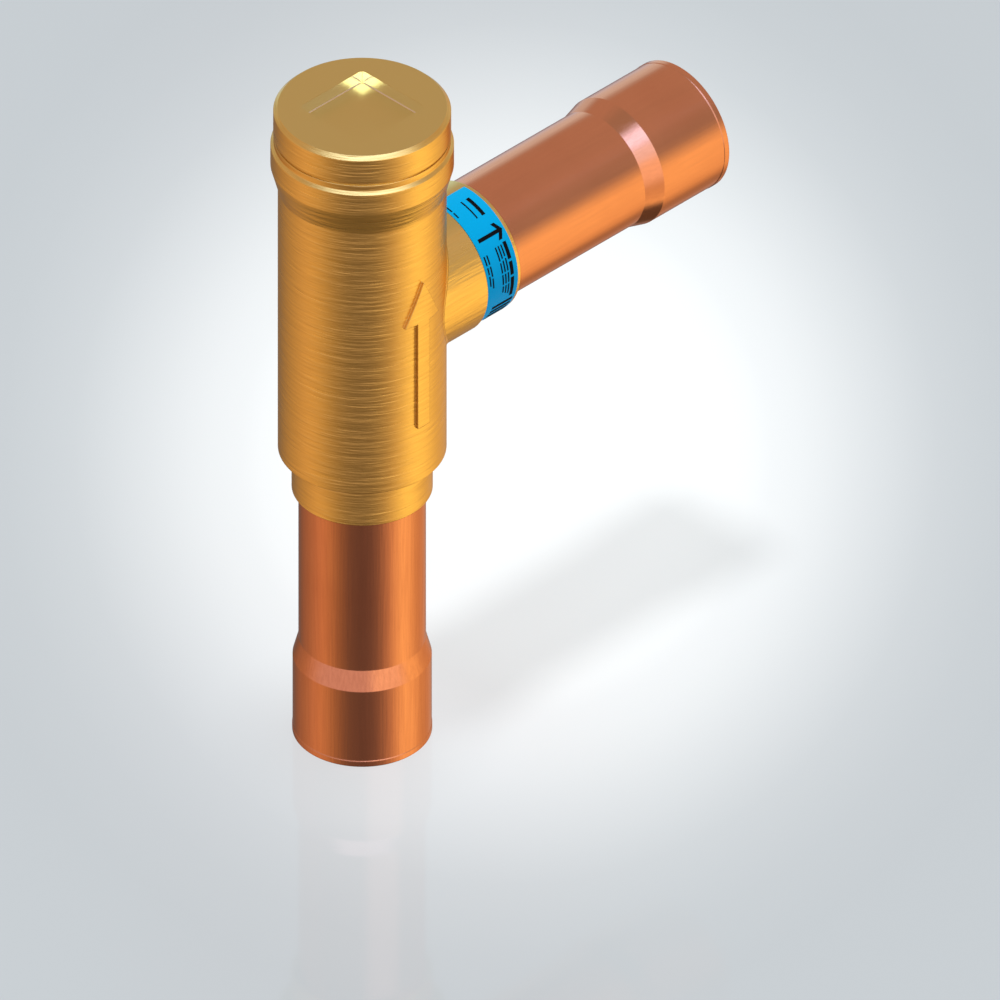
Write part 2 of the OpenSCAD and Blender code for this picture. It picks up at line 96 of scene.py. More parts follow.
# The photograph's view is parallel, from the corner between the two level axes
RIGHT = Vector((1, -1, 0)).normalized()
UP = Vector((1, 1, 2)).normalized()
BACK = Vector((-1, -1, 1)).normalized()
TOWARDS_CAMERA = Vector((-1, -1, 0)).normalized()


# Settings


def length(name, description, default, low=0.0, high=1.0):
    """A length in metres that the sidebar shows in the scene's unit."""
    return bpy.props.FloatProperty(
        name=name, description=description, default=default, min=low, max=high,
        unit="LENGTH", precision=5,
    )


def share(name, description, default, high=1.0):
    """A plain number from 0 to a highest value."""
    return bpy.props.FloatProperty(
        name=name, description=description, default=default, min=0.0, max=high, subtype="FACTOR",
    )


def colour(name, description, default):
    """A linear colour."""
    return bpy.props.FloatVectorProperty(
        name=name, description=description, default=default, size=3, min=0.0, max=6.0,
        subtype="COLOR",
    )


class ValvePieces(bpy.types.PropertyGroup):
    """Sizes of the pieces that are added to the solids."""

    fillet_r: length("Fillet radius", "Radius between the barrel and the outlet boss", 1.3 * MM)
    fillet_steps: bpy.props.IntProperty(
        name="Fillet steps", description="Steps round the outlet boss", default=160, min=24, max=360,
    )
    wire_d: length("Spring wire", "Diameter of the return spring's wire", 1.4 * MM)
    end_pitch: length("Closed pitch", "Pitch of the spring's closed end turns", 1.5 * MM)
    active_turns: bpy.props.IntProperty(
        name="Active turns", description="Turns of the spring that work", default=10, min=6, max=16,
    )
    screw_af: length("Screw head", "Width across the flats of the plate screw", 8.0 * MM)
    screw_head_h: length("Screw head height", "Height of the plate screw's head", 3.5 * MM)
    screw_d: length("Screw shank", "Diameter of the plate screw's shank", 5.0 * MM)
    screw_l: length("Screw length", "Length of the plate screw's shank", 13.0 * MM)


class ValveFinishes(bpy.types.PropertyGroup):
    """Colours and marks of the finishes."""

    brass: colour("Brass", "Brushed brass of the body and cap", (1.0, 0.58, 0.143))
    brass_dull: colour("Dull brass", "Brass between the brush marks", (0.80, 0.45, 0.105))
    # A duller, greener brass for faces that look up: a painted tint that offsets the colour of the
    # light they reflect
    upward_face_tint: colour("Upward face tint", "Duller brass of the level faces", (0.80, 0.55, 0.17))
    # A near-white colour that the tool pocket's walls turn to: a painted highlight that lightens the
    # recess
    pocket_wall_highlight: colour("Pocket wall highlight", "Bright walls of the cap's tool pocket", (1.0, 1.0, 0.95))
    turned_brass: colour("Turned brass", "Bright brass of the inner parts", (0.86, 0.56, 0.20))
    copper: colour("Copper", "Drawn copper of the ends", (0.80, 0.30, 0.14))
    copper_dull: colour("Dull copper", "Copper where it has begun to tan", (0.60, 0.19, 0.085))
    braze: colour("Brazing alloy", "Silver brazing alloy in the joints", (0.72, 0.60, 0.36))
    steel: colour("Steel", "Spring wire", (0.50, 0.51, 0.53))
    zinc: colour("Zinc", "Plated washer and screw", (0.68, 0.69, 0.70))
    plastic: colour("White plastic", "Valve plate and damping ring", (0.80, 0.79, 0.75))
    rubber: colour("Seal rubber", "Ring under the cap", (0.018, 0.018, 0.020))
    label: colour("Label", "Blue film on the outlet collar", (0.0, 0.40, 0.82))
    ink: colour("Ink", "Print on the label", (0.006, 0.006, 0.008))
    brush_depth: share("Brush marks", "How strongly the brush marks show on the brass", 0.55)
    edge_r: length("Soft edge", "Radius that light sees on the sharp edges", 0.3 * MM)


class ValveStudio(bpy.types.PropertyGroup):
    """Floor, light and camera."""

    floor_far: colour("Floor", "Floor far from the valve", (0.584, 0.624, 0.658))
    floor_near: colour("Floor glow", "Floor under the valve", (1.055, 1.087, 1.105))
    floor_glow: share("Floor share", "Share of the floor's colour that shadow doesn't reach", 0.45)
    floor_shine: share("Floor shine", "Share of the floor that mirrors the valve", 0.075)
    sky: share("Room light", "Strength of the even light from all round", 0.66, 2.0)
    key: bpy.props.FloatProperty(
        name="Overhead light", description="Power of the lamp straight above", default=5.2,
        min=0.0, max=50.0, unit="POWER",
    )
    view_width: length("View width", "Width that the camera takes in", 0.27408, 0.05, 2.0)


# Node trees


class Tree:
    """Adds nodes to a node tree from left to right, links them and sets their values."""

    def __init__(self, tree):
        self.tree = tree
        self.count = 0

    def add(self, kind, values=None, **settings):
        """A node with its settings. Each value is a number, a colour or another node's output."""
        node = self.tree.nodes.new(kind)
        node.location = (220 * self.count, -160 * (self.count % 3))
        self.count += 1
        for key, setting in settings.items():
            setattr(node, key, setting)
        for key, value in (values or {}).items():
            if isinstance(value, bpy.types.NodeSocket):
                self.tree.links.new(value, node.inputs[key])
            else:
                node.inputs[key].default_value = value
        return node

    def math(self, operation, *values, clamp=False):
        """A Math node's result."""
        named = dict(enumerate(values))
        return self.add("ShaderNodeMath", named, operation=operation, use_clamp=clamp).outputs[0]

    def dot(self, vector, direction):
        """The share of a vector along a direction."""
        values = {0: vector, 1: tuple(direction)}
        return self.add("ShaderNodeVectorMath", values, operation="DOT_PRODUCT").outputs["Value"]

    def ease(self, value, low, high, to_low=0.0, to_high=1.0, interpolation="SMOOTHSTEP"):
        """A value turned smoothly from one range into another."""
        values = {
            "Value": value, "From Min": low, "From Max": high, "To Min": to_low, "To Max": to_high,
        }
        node = self.add("ShaderNodeMapRange", values, interpolation_type=interpolation)
        return node.outputs["Result"]

    def span(self, value, to_low, to_high):
        """A share from 0 to 1 turned evenly into a range."""
        return self.ease(value, 0.0, 1.0, to_low, to_high, "LINEAR")

    def ramp(self, value, stops):
        """A colour from a row of (place, colour) stops."""
        node = self.add("ShaderNodeValToRGB", {"Fac": value})
        elements = node.color_ramp.elements
        elements[0].position, elements[0].color = stops[0][0], rgba(stops[0][1])
        elements[1].position, elements[1].color = stops[-1][0], rgba(stops[-1][1])
        for place, tint in stops[1:-1]:
            elements.new(place).color = rgba(tint)
        return node.outputs["Color"]

    def tint(self, mask, strength, first, second):
        """A colour that turns towards another where a mask is, up to a strength."""
        return self.mix(self.math("MULTIPLY", mask, strength), first, second)

    def layer(self, factor, below, above):
        """A mix of two shader nodes."""
        return self.add("ShaderNodeMixShader", {0: factor, 1: below.outputs[0], 2: above.outputs[0]})

    def mix(self, factor, first, second):
        """A mix of two colours."""
        node = self.add("ShaderNodeMix", data_type="RGBA")
        for socket, value in ((0, factor), (6, first), (7, second)):
            if isinstance(value, bpy.types.NodeSocket):
                self.tree.links.new(value, node.inputs[socket])
            else:
                node.inputs[socket].default_value = value if socket == 0 else rgba(value)
        return node.outputs[2]


def rgba(values):
    """A colour with full opacity."""
    return (*values[:3], 1.0)


def new_group(name, inputs, outputs):
    """An empty shader node group with named sockets, and its input and output nodes."""
    group = bpy.data.node_groups.new(name, "ShaderNodeTree")
    for socket, kind, default in inputs:
        made = group.interface.new_socket(name=socket, in_out="INPUT", socket_type=kind)
        if default is not None:
            made.default_value = default
    for socket, kind in outputs:
        group.interface.new_socket(name=socket, in_out="OUTPUT", socket_type=kind)
    tree = Tree(group)
    entry = tree.add("NodeGroupInput")
    return group, tree, entry.outputs


def finish_group(tree, results):
    """Links the results to the group's output."""
    tree.add("NodeGroupOutput", results)


FLOAT = "NodeSocketFloat"
VECTOR = "NodeSocketVector"


def brush_marks_group():
    """Long thin marks, fine across one direction and drawn out along the others."""
    group, tree, given = new_group(
        "Brush marks",
        [("Position", VECTOR, None), ("Grain", VECTOR, (70.0, 70.0, 2600.0)), ("Detail", FLOAT, 2.0),
         ("Low", FLOAT, 0.35), ("High", FLOAT, 0.65)],
        [("Marks", FLOAT)],
    )
    stretched = tree.add(
        "ShaderNodeVectorMath", {0: given["Position"], 1: given["Grain"]}, operation="MULTIPLY",
    ).outputs[0]
    noise = tree.add(
        "ShaderNodeTexNoise", {"Vector": stretched, "Scale": 1.0, "Detail": given["Detail"]},
    ).outputs["Fac"]
    marks = tree.ease(noise, given["Low"], given["High"], interpolation="LINEAR")
    finish_group(tree, {"Marks": marks})
    return group


def mottling_group():
    """Soft clouds, as metal shows where it has begun to tan."""
    group, tree, given = new_group(
        "Mottling",
        [("Position", VECTOR, None), ("Scale", FLOAT, 60.0), ("Low", FLOAT, 0.4),
         ("High", FLOAT, 0.7)],
        [("Mask", FLOAT)],
    )
    noise = tree.add(
        "ShaderNodeTexNoise",
        {"Vector": given["Position"], "Scale": given["Scale"], "Detail": 4.0, "Roughness": 0.55},
    ).outputs["Fac"]
    finish_group(tree, {"Mask": tree.ease(noise, given["Low"], given["High"])})
    return group


def soft_edges_group():
    """Rounded edges as light sees them, and a mask of where they are."""
    group, tree, given = new_group(
        "Soft edges",
        [("Radius", FLOAT, 0.00025)],
        [("Normal", VECTOR), ("Edge", FLOAT)],
    )
    round_normal = tree.add("ShaderNodeBevel", {"Radius": given["Radius"]}, samples=6)
    round_normal = round_normal.outputs["Normal"]
    plain_normal = tree.add("ShaderNodeNewGeometry").outputs["Normal"]
    agreement = tree.add(
        "ShaderNodeVectorMath", {0: round_normal, 1: plain_normal}, operation="DOT_PRODUCT",
    ).outputs["Value"]
    finish_group(tree, {"Normal": round_normal, "Edge": tree.ease(agreement, 0.999, 0.93)})
    return group


def panel_group():
    """A soft-edged patch of the surroundings, placed by its compass angle and its height angle."""
    group, tree, given = new_group(
        "Light panel",
        [("Compass", FLOAT, 0.0), ("Height", FLOAT, 0.0), ("Centre", FLOAT, 0.0),
         ("Half width", FLOAT, 20.0), ("Softness", FLOAT, 8.0), ("Centre height", FLOAT, 0.0),
         ("Half height", FLOAT, 20.0), ("Height softness", FLOAT, 8.0)],
        [("Mask", FLOAT)],
    )
    aside = tree.math("SUBTRACT", given["Compass"], given["Centre"])
    aside = tree.math("ABSOLUTE", tree.math("WRAP", aside, 180.0, -180.0))
    above = tree.math("ABSOLUTE", tree.math("SUBTRACT", given["Height"], given["Centre height"]))
    masks = []
    for distance, half, softness in (
        (aside, given["Half width"], given["Softness"]),
        (above, given["Half height"], given["Height softness"]),
    ):
        outer = tree.math("ADD", half, softness)
        inner = tree.math("SUBTRACT", half, softness)
        masks.append(tree.ease(distance, outer, inner))
    finish_group(tree, {"Mask": tree.math("MULTIPLY", *masks)})
    return group


GROUPS = {
    "Brush marks": brush_marks_group,
    "Mottling": mottling_group,
    "Soft edges": soft_edges_group,
    "Light panel": panel_group,
}


def use_group(tree, name, **values):
    """A node that holds a shared group. The group is built the first time it is asked for."""
    group = bpy.data.node_groups.get(name) or GROUPS[name]()
    node = tree.add("ShaderNodeGroup", node_tree=group)
    for key, value in values.items():
        socket = node.inputs[key.replace("_", " ").capitalize()]
        if isinstance(value, bpy.types.NodeSocket):
            tree.tree.links.new(value, socket)
        else:
            socket.default_value = value
    return node.outputs


def new_material(name, **plain):
    """A material with its Principled shader, the tree to add to, and Object coordinates."""
    material = bpy.data.materials.new("finish_" + name)
    material.use_nodes = True
    material.node_tree.nodes.clear()
    tree = Tree(material.node_tree)
    position = tree.add("ShaderNodeTexCoord").outputs["Object"]
    shader = material.node_tree.nodes.new("ShaderNodeBsdfPrincipled")
    output = material.node_tree.nodes.new("ShaderNodeOutputMaterial")
    shader.location, output.location = (3200, 0), (3500, 0)
    tree.tree.links.new(shader.outputs["BSDF"], output.inputs["Surface"])
    for key, value in plain.items():
        socket = shader.inputs[key.replace("_", " ")]
        socket.default_value = rgba(value) if socket.type == "RGBA" else value
    return material, tree, shader, position


def give(tree, shader, **results):
    """Links results to the shader's sockets."""
    for key, value in results.items():
        tree.tree.links.new(value, shader.inputs[key.replace("_", " ")])


def bump(tree, height, strength, distance, normal=None):
    """A bump from a height, on top of another normal where one is given."""
    values = {"Height": height, "Strength": strength, "Distance": distance}
    if normal is not None:
        values["Normal"] = normal
    return tree.add("ShaderNodeBump", values).outputs["Normal"]


# Finishes


def tool_pocket(tree, position):
    """Two masks: the walls of the cap's square tool pocket, and all round it, rim and floor too."""
    place = tree.add("ShaderNodeSeparateXYZ", {0: position}).outputs
    aside = tree.math("MAXIMUM", *(tree.math("ABSOLUTE", place[axis]) for axis in "XY"))
    thin = 0.05 * MM
    masks = []
    for margin, low, high in (
        (0.1 * MM, POCKET_Z + thin, CAP_TOP_Z - thin), (0.6 * MM, POCKET_Z - MM, 1.0),
    ):
        inside = tree.math("LESS_THAN", aside, POCKET_W / 2 + margin)
        inside = tree.math("MULTIPLY", inside, tree.math("GREATER_THAN", place["Z"], low))
        masks.append(tree.math("MULTIPLY", inside, tree.math("LESS_THAN", place["Z"], high)))
    return masks


def square_corners(tree, position, walls, normal):
    """Normals of the pocket's walls carried on into its rounded corners, as if they were tight."""
    place = tree.add("ShaderNodeSeparateXYZ", {0: position}).outputs
    sizes = [tree.math("ABSOLUTE", place[axis]) for axis in "XY"]
    straight = POCKET_W / 2 - POCKET_CORNER_R
    corner = tree.math("GREATER_THAN", tree.math("MINIMUM", *sizes), straight)
    on_x = tree.math("GREATER_THAN", *sizes)
    on_y = tree.math("SUBTRACT", 1.0, on_x)
    inward = {2: 0.0}
    for index, (axis, on_wall) in enumerate((("X", on_x), ("Y", on_y))):
        side = tree.math("SIGN", place[axis])
        inward[index] = tree.math("MULTIPLY", side, tree.math("MULTIPLY", on_wall, -1.0))
    inward = tree.add("ShaderNodeCombineXYZ", inward).outputs[0]
    return tree.tint(corner, walls, normal, inward)


def brushed_brass(finishes):
    """Brass brushed round the barrel in short level marks, finer on faces that look up. Those faces
    also take a duller, greener painted tint against the light they reflect from above. The edges
    take a brighter brass as a painted highlight, and the tool pocket's walls take a near-white
    painted highlight.
    """
    material, tree, shader, position = new_material(
        "brushed_brass", Metallic=1.0, Specular_Tint=(0.75, 0.70, 0.65),
    )
    fine = use_group(
        tree, "Brush marks", position=position, grain=(130.0, 130.0, 2500.0), detail=3.0,
    )["Marks"]
    long = use_group(
        tree, "Brush marks", position=position, grain=(45.0, 45.0, 800.0), low=0.3, high=0.7,
    )["Marks"]
    clouds = use_group(tree, "Mottling", position=position, scale=55.0)
    grain = use_group(tree, "Mottling", position=position, scale=1400.0, low=0.3, high=0.7)
    upward = tree.dot(tree.add("ShaderNodeNewGeometry").outputs["Normal"], (0, 0, 1))
    upward = tree.math("ABSOLUTE", upward)
    level = tree.ease(upward, 0.8, 0.97)
    walls, round_pocket = tool_pocket(tree, position)
    walls = tree.math("MULTIPLY", walls, tree.ease(upward, 0.2, 0.9, 1.0, 0.15))
    edge_r = tree.math("MULTIPLY", tree.math("SUBTRACT", 1.0, round_pocket), finishes.edge_r)
    edges = use_group(tree, "Soft edges", radius=edge_r)
    smooth = square_corners(tree, position, walls, edges["Normal"])
    marks = tree.math("MULTIPLY_ADD", fine, 0.55, tree.math("MULTIPLY", long, 0.45))
    calm = tree.math("MULTIPLY_ADD", grain["Mask"], 0.12, 0.31)
    calm = tree.math("MULTIPLY_ADD", marks, 0.25, calm)
    marks = tree.math("MULTIPLY_ADD", level, tree.math("SUBTRACT", calm, marks), marks)
    dull = tree.ease(marks, 0.15, 0.85, interpolation="LINEAR")
    dull = tree.math("MULTIPLY", dull, finishes.brush_depth)
    dull = tree.math("MULTIPLY_ADD", clouds["Mask"], 0.06, dull, clamp=True)
    body = tree.mix(dull, finishes.brass, finishes.brass_dull)
    # The edges turn to the brighter brass: a painted highlight along them
    body = tree.tint(edges["Edge"], 0.6, body, finishes.brass)
    # Faces that look up turn to a duller, greener brass: a painted tint against the light they
    # reflect
    body = tree.tint(level, tree.ease(marks, 0.0, 1.0, 1.0, 0.8), body, finishes.upward_face_tint)
    depth = tree.math("MULTIPLY", tree.span(level, 0.5, 0.07), tree.math("SUBTRACT", 1.0, walls))
    roughness = tree.span(marks, 0.26, 0.35)
    # The tool pocket's walls turn near white, with less roughness: a painted highlight that lightens
    # the recess
    give(
        tree, shader,
        Base_Color=tree.mix(walls, body, finishes.pocket_wall_highlight),
        Roughness=tree.math("MULTIPLY_ADD", walls, -0.12, roughness),
        Normal=bump(tree, fine, depth, 0.00005, bump(tree, long, depth, 0.00015, smooth)),
    )
    return material


def turned_brass(finishes):
    """Bright turned brass with fine even tool marks round its axis."""
    material, tree, shader, position = new_material("turned_brass", Metallic=1.0)
    marks = use_group(tree, "Brush marks", position=position, grain=(8.0, 8.0, 4500.0), detail=1.0)
    clouds = use_group(tree, "Mottling", position=position, scale=90.0)
    edges = use_group(tree, "Soft edges", radius=finishes.edge_r)
    give(
        tree, shader,
        Base_Color=tree.tint(clouds["Mask"], 0.35, finishes.turned_brass, finishes.brass),
        Roughness=tree.span(marks["Marks"], 0.16, 0.28),
        Normal=bump(tree, marks["Marks"], 0.25, 0.00008, edges["Normal"]),
    )
    return material


def drawn_copper(finishes, name, grain, strength):
    """Drawn copper tube: faint marks along the tube, and clouds where it has begun to tan."""
    material, tree, shader, position = new_material(
        name, Metallic=1.0, Specular_Tint=(0.82, 0.66, 0.56),
    )
    marks = use_group(tree, "Brush marks", position=position, grain=grain, detail=3.0)
    clouds = use_group(tree, "Mottling", position=position, scale=38.0)
    specks = use_group(tree, "Mottling", position=position, scale=900.0, low=0.62, high=0.75)
    edges = use_group(tree, "Soft edges", radius=finishes.edge_r)
    dull = tree.math("MULTIPLY", clouds["Mask"], 0.14)
    dull = tree.math("MULTIPLY_ADD", marks["Marks"], 0.16 * strength, dull)
    dull = tree.math("MULTIPLY_ADD", specks["Mask"], 0.2 * strength, dull, clamp=True)
    give(
        tree, shader,
        Base_Color=tree.mix(dull, finishes.copper, finishes.copper_dull),
        Roughness=tree.span(marks["Marks"], 0.15, 0.23),
        Normal=bump(tree, marks["Marks"], 0.13 * strength, 0.00005, edges["Normal"]),
    )
    return material


def brazing_alloy(finishes):
    """Brazing alloy as it has run: pale, with soft ripples and a little flux stain."""
    material, tree, shader, position = new_material("brazing_alloy", Metallic=1.0)
    ripples = use_group(tree, "Mottling", position=position, scale=800.0, low=0.3, high=0.7)
    stain = use_group(tree, "Mottling", position=position, scale=160.0)
    give(
        tree, shader,
        Base_Color=tree.tint(stain["Mask"], 0.5, finishes.braze, finishes.copper_dull),
        Roughness=tree.span(ripples["Mask"], 0.3, 0.45),
        Normal=bump(tree, ripples["Mask"], 0.3, 0.0001),
    )
    return material


def spring_wire_steel(finishes):
    """Drawn spring wire with a thin oil film."""
    material, tree, shader, position = new_material(
        "spring_wire", Metallic=1.0, Coat_Weight=0.3, Coat_Roughness=0.15,
    )
    marks = use_group(tree, "Brush marks", position=position, grain=(300.0, 300.0, 2200.0))
    clouds = use_group(tree, "Mottling", position=position, scale=140.0)
    give(
        tree, shader,
        Base_Color=tree.tint(clouds["Mask"], 0.45, finishes.steel, (0.30, 0.29, 0.28)),
        Roughness=tree.span(marks["Marks"], 0.22, 0.34),
        Normal=bump(tree, marks["Marks"], 0.15, 0.00003),
    )
    return material


def zinc_plate(finishes):
    """Zinc plate with its faint spangle and a bluish passivated cast."""
    material, tree, shader, position = new_material("zinc_plate", Metallic=1.0)
    spangle = tree.add(
        "ShaderNodeTexVoronoi", {"Vector": position, "Scale": 900.0},
    ).outputs["Distance"]
    clouds = use_group(tree, "Mottling", position=position, scale=260.0)
    edges = use_group(tree, "Soft edges", radius=finishes.edge_r)
    give(
        tree, shader,
        Base_Color=tree.tint(clouds["Mask"], 0.5, finishes.zinc, (0.58, 0.63, 0.70)),
        Roughness=tree.ease(spangle, 0.0, 0.8, 0.24, 0.38, "LINEAR"),
        Normal=bump(tree, spangle, 0.06, 0.00005, edges["Normal"]),
    )
    return material


def white_plastic(finishes):
    """Machined white plastic: faint turning marks and a waxy sheen."""
    material, tree, shader, position = new_material(
        "white_plastic", Subsurface_Weight=0.08, Subsurface_Scale=0.001, IOR=1.4,
    )
    marks = use_group(tree, "Brush marks", position=position, grain=(30.0, 30.0, 5000.0))
    clouds = use_group(tree, "Mottling", position=position, scale=120.0)
    edges = use_group(tree, "Soft edges", radius=finishes.edge_r)
    give(
        tree, shader,
        Base_Color=tree.tint(clouds["Mask"], 0.4, finishes.plastic, (0.70, 0.68, 0.62)),
        Roughness=tree.span(marks["Marks"], 0.38, 0.5),
        Normal=bump(tree, marks["Marks"], 0.1, 0.00005, edges["Normal"]),
    )
    return material


def seal_rubber(finishes):
    """Black seal rubber with a dusting of assembly grease."""
    material, tree, shader, position = new_material("seal_rubber", IOR=1.45)
    grain = use_group(tree, "Mottling", position=position, scale=2500.0, low=0.3, high=0.7)
    grease = use_group(tree, "Mottling", position=position, scale=180.0)
    give(
        tree, shader,
        Base_Color=tree.tint(grain["Mask"], 0.4, finishes.rubber, (0.035, 0.035, 0.038)),
        Roughness=tree.span(grease["Mask"], 0.62, 0.35),
        Normal=bump(tree, grain["Mask"], 0.2, 0.00003),
    )
    return material


def label_film(finishes):
    """Printed blue film: an almost flat colour with a fine print grain and a satin face."""
    material, tree, shader, position = new_material("label_film", IOR=1.4, Specular_IOR_Level=0.08)
    grain = use_group(tree, "Mottling", position=position, scale=3500.0, low=0.35, high=0.65)
    waves = use_group(tree, "Mottling", position=position, scale=150.0, low=0.3, high=0.7)
    give(
        tree, shader,
        Base_Color=tree.tint(grain["Mask"], 0.12, finishes.label, (0.0, 0.45, 0.88)),
        Roughness=tree.span(waves["Mask"], 0.45, 0.55),
        Normal=bump(tree, waves["Mask"], 0.05, 0.00004),
    )
    return material


def label_ink(finishes):
    """Black print, a little uneven, as it lies on the film."""
    material, tree, shader, position = new_material("label_ink", IOR=1.4, Specular_IOR_Level=0.02)
    grain = use_group(tree, "Mottling", position=position, scale=4000.0, low=0.35, high=0.7)
    give(
        tree, shader,
        Base_Color=tree.tint(grain["Mask"], 0.5, finishes.ink, (0.008, 0.009, 0.012)),
        Roughness=tree.span(grain["Mask"], 0.5, 0.62),
        Normal=bump(tree, grain["Mask"], 0.05, 0.00002),
    )
    return material


def dress(material, *nodes):
    """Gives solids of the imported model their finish."""
    for name in nodes:
        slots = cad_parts[name].material_slots
        if not slots:
            raise RuntimeError(f"{name} has no material slot")
        for slot in slots:
            slot.material = material


def finished(name, builder, *args):
    """The finish of that name, built the first time it is asked for."""
    made = bpy.data.materials.get("finish_" + name)
    return made or builder(bpy.context.scene.valve_finishes, *args)


# Pieces


def edges_of(geometry):
    """The edges in a bmesh operator's result."""
    return [item for item in geometry if isinstance(item, bmesh.types.BMEdge)]


def verts_of(geometry):
    """The vertices in a bmesh operator's result."""
    return [item for item in geometry if isinstance(item, bmesh.types.BMVert)]


def piece_from(mesh_in_work, name, material, sharp_angle=35.0):
    """Turns a bmesh into a shaded object in the scene, its place in its mesh."""
    bmesh.ops.remove_doubles(mesh_in_work, verts=mesh_in_work.verts, dist=MERGE_GAP)
    bmesh.ops.recalc_face_normals(mesh_in_work, faces=mesh_in_work.faces)
    limit = math.radians(sharp_angle)
    for face in mesh_in_work.faces:
        face.smooth = True
    for edge in mesh_in_work.edges:
        edge.smooth = len(edge.link_faces) == 2 and edge.calc_face_angle(0.0) < limit
    mesh = bpy.data.meshes.new(name)
    mesh_in_work.to_mesh(mesh)
    mesh_in_work.free()
    piece = bpy.data.objects.new(name, mesh)
    bpy.context.scene.collection.objects.link(piece)
    mesh.materials.append(material)
    return piece


def rolled_point(turn, part, radius):
    """A point of the fillet that a ball leaves as it rolls in the corner of barrel and boss.

    The turn runs round the outlet. The part runs from 0 on the barrel to 1 on the boss, and
    above 1 it is the buried corner.
    """
    branch = Vector((0, 0, BRANCH_Z))
    centre_y = (BOSS_R + radius) * math.sin(turn)
    centre_z = (BOSS_R + radius) * math.cos(turn)
    centre_x = math.sqrt((BARREL_R + radius) ** 2 - centre_y**2)
    centre = Vector((centre_x, centre_y, centre_z))
    to_barrel = Vector((-centre_x, -centre_y, 0)).normalized()
    to_boss = Vector((0, -centre_y, -centre_z)).normalized()
    corner = (to_barrel + to_boss).normalized()
    if part > 1:
        deep = (radius + FILLET_BURY) / corner.dot(to_barrel)
        return centre + corner * deep + branch
    opening = to_barrel.angle(to_boss)
    direction = Matrix.Rotation(opening * part, 3, to_barrel.cross(to_boss)) @ to_barrel
    return centre + direction * radius + branch


def fillet_bead(pieces):
    """A ring spun round the outlet and then laid into the corner of barrel and boss."""
    steps = pieces.fillet_steps
    bm = bmesh.new()
    # The ring's first place and size don't matter, because each point is then laid in the corner
    placed = Matrix.Translation((25 * MM, 0, BOSS_R)) @ Matrix.Rotation(math.pi / 2, 4, "X")
    bmesh.ops.create_circle(bm, segments=FILLET_SIDES, radius=1 * MM, matrix=placed)
    bm.verts.ensure_lookup_table()
    bm.verts.index_update()
    part_layer = bm.verts.layers.float.new("part")
    for index, vert in enumerate(bm.verts):
        vert[part_layer] = index / FILLET_ARC_STEPS if index <= FILLET_ARC_STEPS else 2.0
    bmesh.ops.spin(
        bm, geom=bm.verts[:] + bm.edges[:], cent=(0, 0, 0), axis=(1, 0, 0), dvec=(0, 0, 0),
        angle=2 * math.pi, steps=steps, use_merge=True, use_duplicate=False,
    )
    for vert in bm.verts:
        turn = math.atan2(vert.co.y, vert.co.z)
        turn = round(turn / (2 * math.pi) * steps) * 2 * math.pi / steps
        part = vert[part_layer]
        point = rolled_point(turn, part, pieces.fillet_r)
        if part <= 1:
            point += Vector((point.x, point.y, 0)).normalized() * FILLET_PROUD
        vert.co = point
    return bm


def coiled_wire(pieces):
    """Round wire spun up the spring: one closed turn, the active turns, one closed turn."""
    low = SPRING_FOOT_Z + pieces.wire_d / 2
    high = GUIDE_SEAT_Z - pieces.wire_d / 2
    active_pitch = (high - low - 2 * pieces.end_pitch) / pieces.active_turns
    bm = bmesh.new()
    placed = Matrix.Translation((SPRING_MEAN_R, 0, low)) @ Matrix.Rotation(math.pi / 2, 4, "X")
    bmesh.ops.create_circle(bm, segments=WIRE_SIDES, radius=pieces.wire_d / 2, matrix=placed)
    section = bm.verts[:] + bm.edges[:]
    ends = [edges_of(section)]
    closed = (1, pieces.end_pitch)
    for turns, pitch in (closed, (pieces.active_turns, active_pitch), closed):
        spun = bmesh.ops.spin(
            bm, geom=section, cent=(0, 0, 0), axis=(0, 0, 1), dvec=(0, 0, pitch / TURN_STEPS),
            angle=2 * math.pi * turns, steps=TURN_STEPS * turns, use_merge=False,
            use_duplicate=False,
        )
        section = spun["geom_last"]
    ends.append(edges_of(section))
    for loop in ends:
        bmesh.ops.edgeloop_fill(bm, edges=loop)
    return bm


def soften(bm, edges, offset, segments):
    """Bevels edges by an offset in a number of segments."""
    bmesh.ops.bevel(
        bm, geom=edges, offset=offset, offset_type="OFFSET", segments=segments, profile=0.5,
        affect="EDGES", material=-1,
    )


